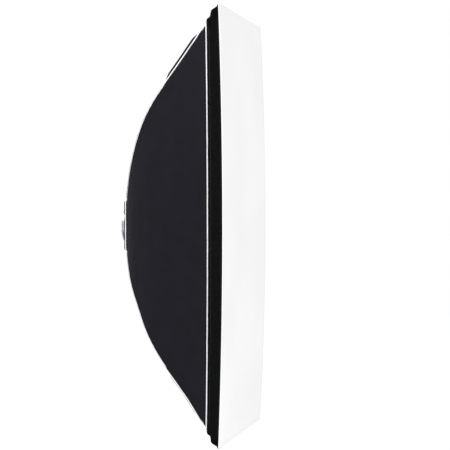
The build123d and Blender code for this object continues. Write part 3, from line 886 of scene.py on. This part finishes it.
def make_front_piping():
    """Piping round the box where the panels end."""
    run = HEM_START - 1.5 * MM
    path = []
    for side, across in TRIP:
        along = across * half_side(side, run)
        wander = FRONT_WANDER * waves(along / (45 * MM), 0.0, 4.4) * smooth(abs(along) / (20 * MM))
        path.append(place(side, run, across, PIPING_LIFT + wander))
    loop = cord("front_piping_cord", path, PIPING, PIPING_SIDES, PIPING_TAPE, closed=True)
    for half, piece in split_at_middle(loop).items():
        follow_fold(piece, half, "piping", "front_piping")


def rounded_rectangle(half_x, half_z, radius, step):
    """Points round a rounded rectangle with a point at the middle of each side, from (x, 0) upwards."""
    quarter = []
    straight = half_z - radius
    count = max(2, round(straight / step))
    quarter += [(half_x, straight * i / count) for i in range(count)]
    for i in range(9):
        turn = math.pi / 2 * i / 8
        quarter.append(
            (half_x - radius + radius * math.cos(turn), half_z - radius + radius * math.sin(turn))
        )
    straight = half_x - radius
    count = max(2, round(straight / step))
    quarter += [(straight * (1 - i / count), half_z) for i in range(1, count)]
    mirrored = [(-x, z) for x, z in [(0.0, half_z)] + quarter[:0:-1]]
    upper = quarter + [(0.0, half_z)] + mirrored[1:] + [(-half_x, 0.0)]
    lower = [(x, -z) for x, z in upper[-2:0:-1]]
    return upper + lower


def make_collar():
    """Elastic collar that grips the ring's plate, gathered every three steps, and the piping over it."""
    low, high = -collar_high[1], -collar_low[1]
    step = 2 * MM
    outline = rounded_rectangle(collar_high[0], collar_high[2], COLLAR_CORNER, step)
    verts, uvs = [], []
    # share of the collar's depth, and how far it puffs out there in mm
    profile = [(0.0, 0.0), (0.12, 0.5), (0.3, 0.55), (0.45, 0.1), (0.6, 0.5), (0.85, 0.5), (1.0, 0.0)]
    for share, puff in profile:
        walked = 0.0
        for i, (x, z) in enumerate(outline):
            gather = 0.5 + 0.5 * math.sin(2 * math.pi * i / 3.0)
            grow = 1 + (puff * MM * (0.4 + 0.6 * gather)) / math.hypot(x, z)
            verts.append((x * grow, -(low + (high - low) * share), z * grow))
            uvs.append((walked, share * (high - low)))
            walked += step
    faces = grid_faces(len(profile), len(outline), closed=True)
    collar = finish_mesh(new_object("elastic_collar", verts, faces, uvs, [LOOP]), COLLAR_WALL)
    stay_on_ring(collar, "band_cloth", "rear_collar")
    half_x, half_z = collar_high[0] + PIPING_LIFT, collar_high[2] + PIPING_LIFT
    outline = rounded_rectangle(half_x, half_z, COLLAR_CORNER + PIPING_LIFT, 3 * MM)
    depth = high - PIPING_LIFT - 0.2 * MM
    path = [Vector((x, -depth, z)) for x, z in outline]
    loop = cord("rear_piping_cord", path, PIPING, PIPING_SIDES, PIPING_TAPE, True)
    stay_on_ring(loop, "piping", "rear_piping")


# ------------------------------------------------------------------ front rim and hem
# cloth walked per run near the front, where the seams run straight
CLOTH_PER_RUN = 1.28
# shares of the hem's width at which its two bindings are sewn down, and at which they end
REAR_ROW, FRONT_ROW = 0.135, 0.865
REAR_BINDING, FRONT_BINDING = 0.15, 0.87
BINDING_HEIGHT, BINDING_SEWN, HEM_ROLL = 0.5 * MM, 0.6 * MM, 1.0 * MM


def band(name, rows, lift_of, materials, thickness, lining=0):
    """Closed band round the front of the box; rows are runs, and lift_of gives the height of a place."""
    verts, uvs = [], []
    for run in rows:
        walked = 0.0
        before = None
        for side, across in TRIP:
            point = place(side, run, across, lift_of(side, run, across))
            walked += (point - before).length if before else 0.0
            before = point
            verts.append(point)
            uvs.append((walked, run * CLOTH_PER_RUN))
    obj = new_object(name, verts, grid_faces(len(rows), len(TRIP), closed=True), uvs, materials)
    return finish_mesh(obj, thickness, lining)


def make_rim():
    """Loop tape on the box's rim, which the hem of the front grips."""
    rows = [HEM_START + 1 * MM + (HEM_RUN - 1.5 * MM) * i / 12 for i in range(13)]

    whole = band("rim_tape", rows, lambda side, run, across: -RIM_SINK, [LOOP], RIM_FABRIC)
    for half, piece in split_at_middle(whole).items():
        follow_fold(piece, half, "band_cloth", "rim_band")


def hem_lift(side, run, across):
    """Height of the hem: bound and sewn edges, a soft pile between, and pockets at the corners."""
    share = (run - HEM_START) / HEM_RUN
    along = across * half_side(side, run)
    to_corner = (1 - abs(across)) * half_side(side, run)
    edge = hump(share, 0.04, 0.05) + hump(share, 0.955, 0.05)
    sewn = hump(share, REAR_ROW, 0.022) + hump(share, FRONT_ROW, 0.022)
    height = HEM_GAP + HEM_FABRIC + BINDING_HEIGHT * edge - BINDING_SEWN * sewn
    face_x, face_z = SIDES[side]
    roll = waves(along / (38 * MM) + 2 * face_x, share * 1.2 + 3 * face_z, 6.6)
    height += HEM_ROLL * roll * smooth(share * 5) * smooth((1 - share) * 5) * smooth(abs(along) / (15 * MM))
    pocket = 0.55 * hump(share, 0.16, 0.1) + hump(share, 0.6, 0.2) + 0.2 * hump(share, 0.95, 0.1)
    return height + POCKET_BULGE * pocket * hump(to_corner, 0, POCKET_REACH)


def hem_rows():
    """Runs at which the hem's mesh has a row, close together at its bindings."""
    shares = [0, 0.02, 0.045, 0.07, 0.095, 0.115, 0.135, 0.155, 0.18, 0.22, 0.27, 0.33, 0.4, 0.47, 0.54]
    shares += [0.6, 0.66, 0.72, 0.78, 0.82, 0.845, 0.865, 0.885, 0.91, 0.935, 0.96, 0.98, 1.0]
    return [HEM_START + 3 * MM + (HEM_RUN - 3 * MM) * s for s in shares]


def hem_seams(half):
    """Stitch rows of the hem, beside its two bound edges."""
    seams = []
    long_places = [half * (0.002 + 0.955 * i / 120) for i in range(121)]
    short_places = [0.9 * (2 * i / 80 - 1) for i in range(81)]
    short_side = "top" if half > 0 else "bottom"
    for share in (REAR_ROW + 0.05, FRONT_ROW):
        run = HEM_START + HEM_RUN * share
        for side, places in (("left", long_places), ("right", long_places), (short_side, short_places)):
            spots = [place(side, run, across, hem_lift(side, run, across)) for across in places]
            seams.append([(spot, square_out(side, run)) for spot in spots])
    return seams


def make_hem():
    """Hem of the front: hook-and-loop tape folded over the rim, bound at both edges."""
    whole = band("diffuser_hem_band", hem_rows(), hem_lift, [LOOP, LINING, BINDING], HEM_FABRIC)
    for polygon in whole.data.polygons:
        run_uv = [whole.data.uv_layers[0].data[i].uv.y / CLOTH_PER_RUN for i in polygon.loop_indices]
        share = (sum(run_uv) / len(run_uv) - HEM_START) / HEM_RUN
        if share < REAR_BINDING or share > FRONT_BINDING:
            polygon.material_index = 2
    for half, piece in split_at_middle(whole).items():
        follow_fold(piece, half, "hem_cloth", "diffuser_hem")
        sewn = stitches(f"hem_stitching_{WORD[half]}", hem_seams(half), THREAD)
        follow_fold(sewn, half, "hem_cloth")


# ------------------------------------------------------------------ white front
def front_depth(z):
    """Depth of the stretched front: its long edges stand forward in their middle."""
    share = z / FRONT_Z
    return FRONT_DEPTH + BOW_FORWARD * max(0.0, 1 - share * share)


def make_front():
    """White front, rolled over the hem's edge and sewn down just inside it."""
    rim = [place(side, SEAM_RUN, across, hem_lift(side, SEAM_RUN, across)) for side, across in TRIP]
    # from the hem inwards, in mm: how far in, and how far below the cloth's even face
    rolled = [(-1.0, 3.2), (-0.9, 1.8), (-0.4, 0.6), (0.6, 0.0), (3, -0.2), (6, -0.25), (9, -0.2)]
    sewn = [(10.5, 0.1), (11.5, 0.35), (12.5, 0.1)]
    even = [(inset, 0) for inset in (14, 18, 26, 40, 60, 85, 110, 140, 170, 200, 225, 241)]
    profile = rolled + sewn + even
    verts, uvs = [], []
    for inset, drop in profile:
        for (side, across), point in zip(TRIP, rim):
            x = point.x * (FRONT_X - inset * MM) / FRONT_X
            z = point.z * (FRONT_Z - inset * MM) / FRONT_Z
            depth = front_depth(min(FRONT_Z, abs(z))) + 0.5 * MM - drop * MM
            if inset > 14:
                inner = smooth((inset - 14) / 40)
                depth += 1.2 * MM * waves(x / (90 * MM), z / (160 * MM), 8.8) * inner
            if inset > 0:
                near_corner = math.exp(-math.hypot(FRONT_X - abs(x), FRONT_Z - abs(z)) / (60 * MM))
                depth += 0.8 * MM * near_corner * waves(x / (14 * MM), z / (14 * MM), 1.1)
            verts.append(Vector((x, -depth, z)))
            uvs.append((x, z))
    count = len(TRIP)
    faces = grid_faces(len(profile), count, closed=True)
    base = (len(profile) - 1) * count
    long_count, short_count = len(LONG_STEPS) - 1, len(SHORT_STEPS) - 1
    left = list(range(base, base + long_count + 1))
    top = list(range(base + long_count, base + long_count + short_count + 1))
    right = list(range(base + long_count + short_count, base + 2 * long_count + short_count + 1))[::-1]
    bottom = [base] + list(range(base + count - 1, base + 2 * long_count + short_count - 1, -1))
    for i in range(long_count):
        faces.append((left[i], right[i], right[i + 1], left[i + 1]))
    faces.append(tuple(top))
    faces.append(tuple(reversed(bottom)))
    cloth = new_object("white_front", verts, faces, uvs, [DIFFUSION])
    finish_mesh(cloth, FRONT_CLOTH)
    for half, piece in split_at_middle(cloth).items():
        follow_fold(piece, half, "diffusion_cloth", "front_diffuser")
        thread = stitches(f"front_stitching_{WORD[half]}", front_seams(half), WHITE_THREAD)
        follow_fold(thread, half, "diffusion_cloth")


def front_seams(half):
    """Stitch row that holds the front's folded edge."""
    inset = 11.5 * MM
    forward = Vector((0, -1, 0))
    seams = []
    for side in (-1, 1):
        line = []
        for i in range(121):
            z = half * (0.001 + (FRONT_Z - inset - 0.001) * i / 120)
            x = side * (FRONT_X + BOW_OUT * (1 - (z / FRONT_Z) ** 2) + 2 * MM - inset)
            line.append((Vector((x, -(front_depth(z) + 0.2 * MM), z)), forward))
        seams.append(line)
    line = []
    for i in range(61):
        x = (FRONT_X - inset) * (2 * i / 60 - 1)
        z = half * (FRONT_Z + 2 * MM - inset)
        line.append((Vector((x, -(front_depth(z) + 0.2 * MM), z)), forward))
    seams.append(line)
    return seams


# ------------------------------------------------------------------ rod pockets
def make_pockets():
    """Sewn pockets at the four front corners, which take the rods' tips."""
    for side_x, side_z, word in CORNERS:
        low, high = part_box(f"rod_tip_{word}")
        radius = POCKET_NOSE
        nose = Vector(
            (
                high.x - radius if side_x > 0 else low.x + radius,
                low.y + radius,
                high.z - radius if side_z > 0 else low.z + radius,
            )
        )
        level = math.cos(SEAM_END)
        heading = Vector((side_x * ALONG_X * level, -math.sin(SEAM_END), side_z * ALONG_Z * level))
        across = heading.orthogonal().normalized()
        other = heading.cross(across)
        # in mm from the nose: a hemmed mouth, the sleeve, and the closed end
        profile = [(-31, 4.6), (-30.5, 5.2), (-28, 5.3), (-27, 4.9), (-26, 5.2), (-18, 4.8), (-8, 4.9)]
        profile += [(0, 4.9), (2.5, 4.4), (4.2, 2.8), (4.8, 0.9)]
        verts, uvs = [], []
        sides = 20
        for along, wide in profile:
            for k in range(sides):
                turn = 2 * math.pi * k / sides
                wrinkle = 1 + 0.05 * waves(3 * math.cos(turn), along / 6, 3 * math.sin(turn))
                out = wide * MM * wrinkle
                spot = across * math.cos(turn) + other * math.sin(turn)
                verts.append(nose + heading * (along * MM) + spot * out)
                uvs.append((turn * wide * MM, along * MM))
        faces = grid_faces(len(profile), sides, closed=True)
        faces.append(tuple(range((len(profile) - 1) * sides, len(profile) * sides)))
        pocket = new_object(f"rod_pocket_{word}", verts, faces, uvs, [WEBBING])
        thicken(pocket, POCKET_WALL, 1)
        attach(pocket, f"rod_{word}_arm")
        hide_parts("corner_pockets")


# ------------------------------------------------------------------ inner baffle
def make_baffle():
    """Inner white cloth, hemmed, hung between the side panels."""
    outline = rounded_rectangle(BAFFLE_X, BAFFLE_Z, BAFFLE_CORNER, 14 * MM)
    # from the edge inwards, in mm: how far in, and how high the folded hem stands
    hem = [(0, 0.2), (1.5, 0.6), (4, 0.7), (9, 0.6), (11, 0)]
    profile = hem + [(inset, 0) for inset in (12.5, 16, 25, 45, 70, 100, 130, 154)]
    verts, uvs = [], []
    for inset, height in profile:
        for x, z in outline:
            x *= (BAFFLE_X - inset * MM) / BAFFLE_X
            z *= (BAFFLE_Z - inset * MM) / BAFFLE_Z
            slack = 2.0 * MM * waves(x / (80 * MM), z / (120 * MM), 12.0)
            slack += 1.2 * MM * waves(x / (22 * MM), z / (22 * MM), 13.0) * math.exp(-inset / 40)
            depth = BAFFLE_DEPTH + (0.6 + height) * MM + slack * smooth(inset / 30)
            verts.append(Vector((x, -depth, z)))
            uvs.append((x, z))
    count = len(outline)
    faces = grid_faces(len(profile), count, closed=True)
    base = (len(profile) - 1) * count
    upper = list(range(base, base + count // 2 + 1))
    lower = [base] + list(range(base + count - 1, base + count // 2 - 1, -1))
    faces.append(tuple(upper))
    faces.append(tuple(reversed(lower)))
    cloth = new_object("inner_white_cloth", verts, faces, uvs, [INNER_WHITE])
    finish_mesh(cloth, BAFFLE_FABRIC)
    for half, piece in split_at_middle(cloth).items():
        follow_fold(piece, half, "diffusion_cloth", "inner_baffle")


def ribbon(verts, faces, centre, along, wide, out, length, thickness):
    """Flat strap with rounded edges, its middle slightly bowed, added to verts and faces."""
    base = len(verts)
    section = [(-1, 0.0), (-0.94, 0.75), (-0.8, 1.0), (0.8, 1.0), (0.94, 0.75), (1, 0.0)]
    section += [(0.94, -0.75), (0.8, -1.0), (-0.8, -1.0), (-0.94, -0.75)]
    rows = 7
    for i in range(rows):
        share = i / (rows - 1)
        arch = 0.8 * MM * math.sin(math.pi * share)
        for w, h in section:
            point = centre + along * (length * (share - 0.5)) + wide * (w * STRAP_WIDTH / 2)
            verts.append(point + out * (h * thickness / 2 + arch))
    count = len(section)
    for i in range(rows - 1):
        for k in range(count):
            a, b = base + i * count + k, base + i * count + (k + 1) % count
            faces.append((a, b, b + count, a + count))
    faces.append(tuple(range(base, base + count)))
    faces.append(tuple(reversed(range(base + (rows - 1) * count, base + rows * count))))


def stud(verts, faces, centre, out):
    """Domed press-stud cap with a rolled edge, added to verts and faces."""
    base = len(verts)
    first = out.orthogonal().normalized()
    second = out.cross(first)
    profile = [(1.0, 0.0), (1.0, 0.45), (0.93, 0.75), (0.8, 0.8), (0.62, 0.72), (0.4, 0.92), (0.15, 1.0)]
    sides = 20
    for wide, high in profile:
        for k in range(sides):
            turn = 2 * math.pi * k / sides
            spot = first * math.cos(turn) + second * math.sin(turn)
            verts.append(centre + spot * (wide * STUD_RADIUS) + out * (high * STUD_HEIGHT))
    for i in range(len(profile) - 1):
        for k in range(sides):
            a, b = base + i * sides + k, base + i * sides + (k + 1) % sides
            faces.append((a, b, b + sides, a + sides))
    faces.append(tuple(range(base + (len(profile) - 1) * sides, base + len(profile) * sides)))


def make_straps():
    """Eight elastic straps that hold the baffle, each with its sewn tab and its pair of studs."""
    rows = {1: "upper", -1: "lower", 0: "middle"}
    for level, word in rows.items():
        row = level * STRAP_ROW * BAFFLE_Z
        places = [(Vector((side, 0, 0)), Vector((side * BAFFLE_X, 0, row))) for side in (-1, 1)]
        if level:
            places.append((Vector((0, 0, level)), Vector((0, 0, level * BAFFLE_Z))))
        strap_mesh, tab_mesh, stud_mesh = ([], []), ([], []), ([], [])
        rear = Vector((0, 1, 0))
        for heading, edge in places:
            wide = heading.cross(rear)
            spans = ((strap_mesh, STRAP_INNER, STRAP_OUTER), (tab_mesh, STRAP_OUTER, TAB_OUTER))
            for mesh, first, last in spans:
                middle = edge + heading * ((first + last) / 2)
                middle.y = -(BAFFLE_DEPTH - STRAP_THICKNESS / 2)
                ribbon(*mesh, middle, heading, wide, rear, last - first, STRAP_THICKNESS)
            for depth, out in ((-STRAP_THICKNESS - 0.8 * MM, rear), (1.0 * MM, -rear)):
                spot = edge + heading * (STRAP_INNER / 2)
                spot.y = -(BAFFLE_DEPTH + depth)
                stud(*stud_mesh, spot, out)
        pieces = (
            (strap_mesh, "baffle_strap", WEBBING, "webbing", "baffle_straps"),
            (tab_mesh, "baffle_tab", WEBBING, "webbing", "baffle_tabs"),
            (stud_mesh, "baffle_stud", HARD["stud_metal"], "stud_metal", "baffle_studs"),
        )
        for (verts, faces), name, material, slot_name, node in pieces:
            flat_map = [(v.x + v.y, v.z) for v in verts]
            piece = new_object(f"{name}_{word}", verts, faces, flat_map, [material])
            piece.data.set_sharp_from_angle(angle=CRISP)
            if level:
                follow_fold(piece, level, slot_name, node)
            else:
                stay_on_ring(piece, slot_name, node)


make_panels()
make_seam_pipings()
make_front_piping()
make_collar()
make_rim()
make_hem()
make_front()
make_pockets()
make_baffle()
make_straps()


# ------------------------------------------------------------------ stage, light and camera
FLOOR_SIDE = 60.0
FLOOR_DROP = 0.25


def make_stage():
    """Pale floor well below the box."""
    half = FLOOR_SIDE / 2
    height = cad_bounds[0][2] - FLOOR_DROP
    corners = [(-half, -half, height), (half, -half, height), (half, half, height), (-half, half, height)]
    material, _, shader = start("pale_floor")
    shader.inputs["Base Color"].default_value = (1, 1, 1, 1)
    shader.inputs["Roughness"].default_value = 1.0
    shader.inputs["Specular IOR Level"].default_value = 0.0
    new_object("floor", corners, [(0, 1, 2, 3)], None, [material])


def area_light(name, position, target, size, power):
    """Soft rectangular light, aimed at a target, with its power in watts."""
    lamp = bpy.data.lights.new(name, "AREA")
    lamp.shape = "RECTANGLE"
    lamp.size, lamp.size_y = size
    lamp.energy = power
    obj = bpy.data.objects.new(name, lamp)
    obj.location = position
    obj.rotation_euler = (Vector(target) - Vector(position)).to_track_quat("-Z", "Y").to_euler()
    bpy.context.collection.objects.link(obj)


def make_light():
    """Even white surroundings, and a large soft light behind the camera side of the box."""
    world = bpy.data.worlds.new("studio")
    bpy.context.scene.world = world
    world.use_nodes = True
    background = world.node_tree.nodes["Background"]
    background.inputs["Color"].default_value = (1, 1, 1, 1)
    background.inputs["Strength"].default_value = 1.0
    area_light("key", (-1.5, 1.0, 1.9), (0, -0.2, 0.45), (1.0, 1.0), 46)
    area_light("front", (-1.4, -2.2, 0.1), (0, -0.36, 0), (1.0, 1.0), 0.4)


def make_camera():
    """Camera to the left of the box and a little in front, level with its middle."""
    camera = bpy.data.cameras.new("camera")
    camera.sensor_width = 36.0
    camera.lens = 95.2
    obj = bpy.data.objects.new("camera", camera)
    obj.location = (-3.593, -1.305, 0.0765)
    target = Vector((0.0793, -0.2856, 0.0))
    obj.rotation_euler = (target - obj.location).to_track_quat("-Z", "Y").to_euler()
    bpy.context.collection.objects.link(obj)
    bpy.context.scene.camera = obj


make_stage()
make_light()
make_camera()
bpy.context.scene.view_settings.view_transform = "Standard"
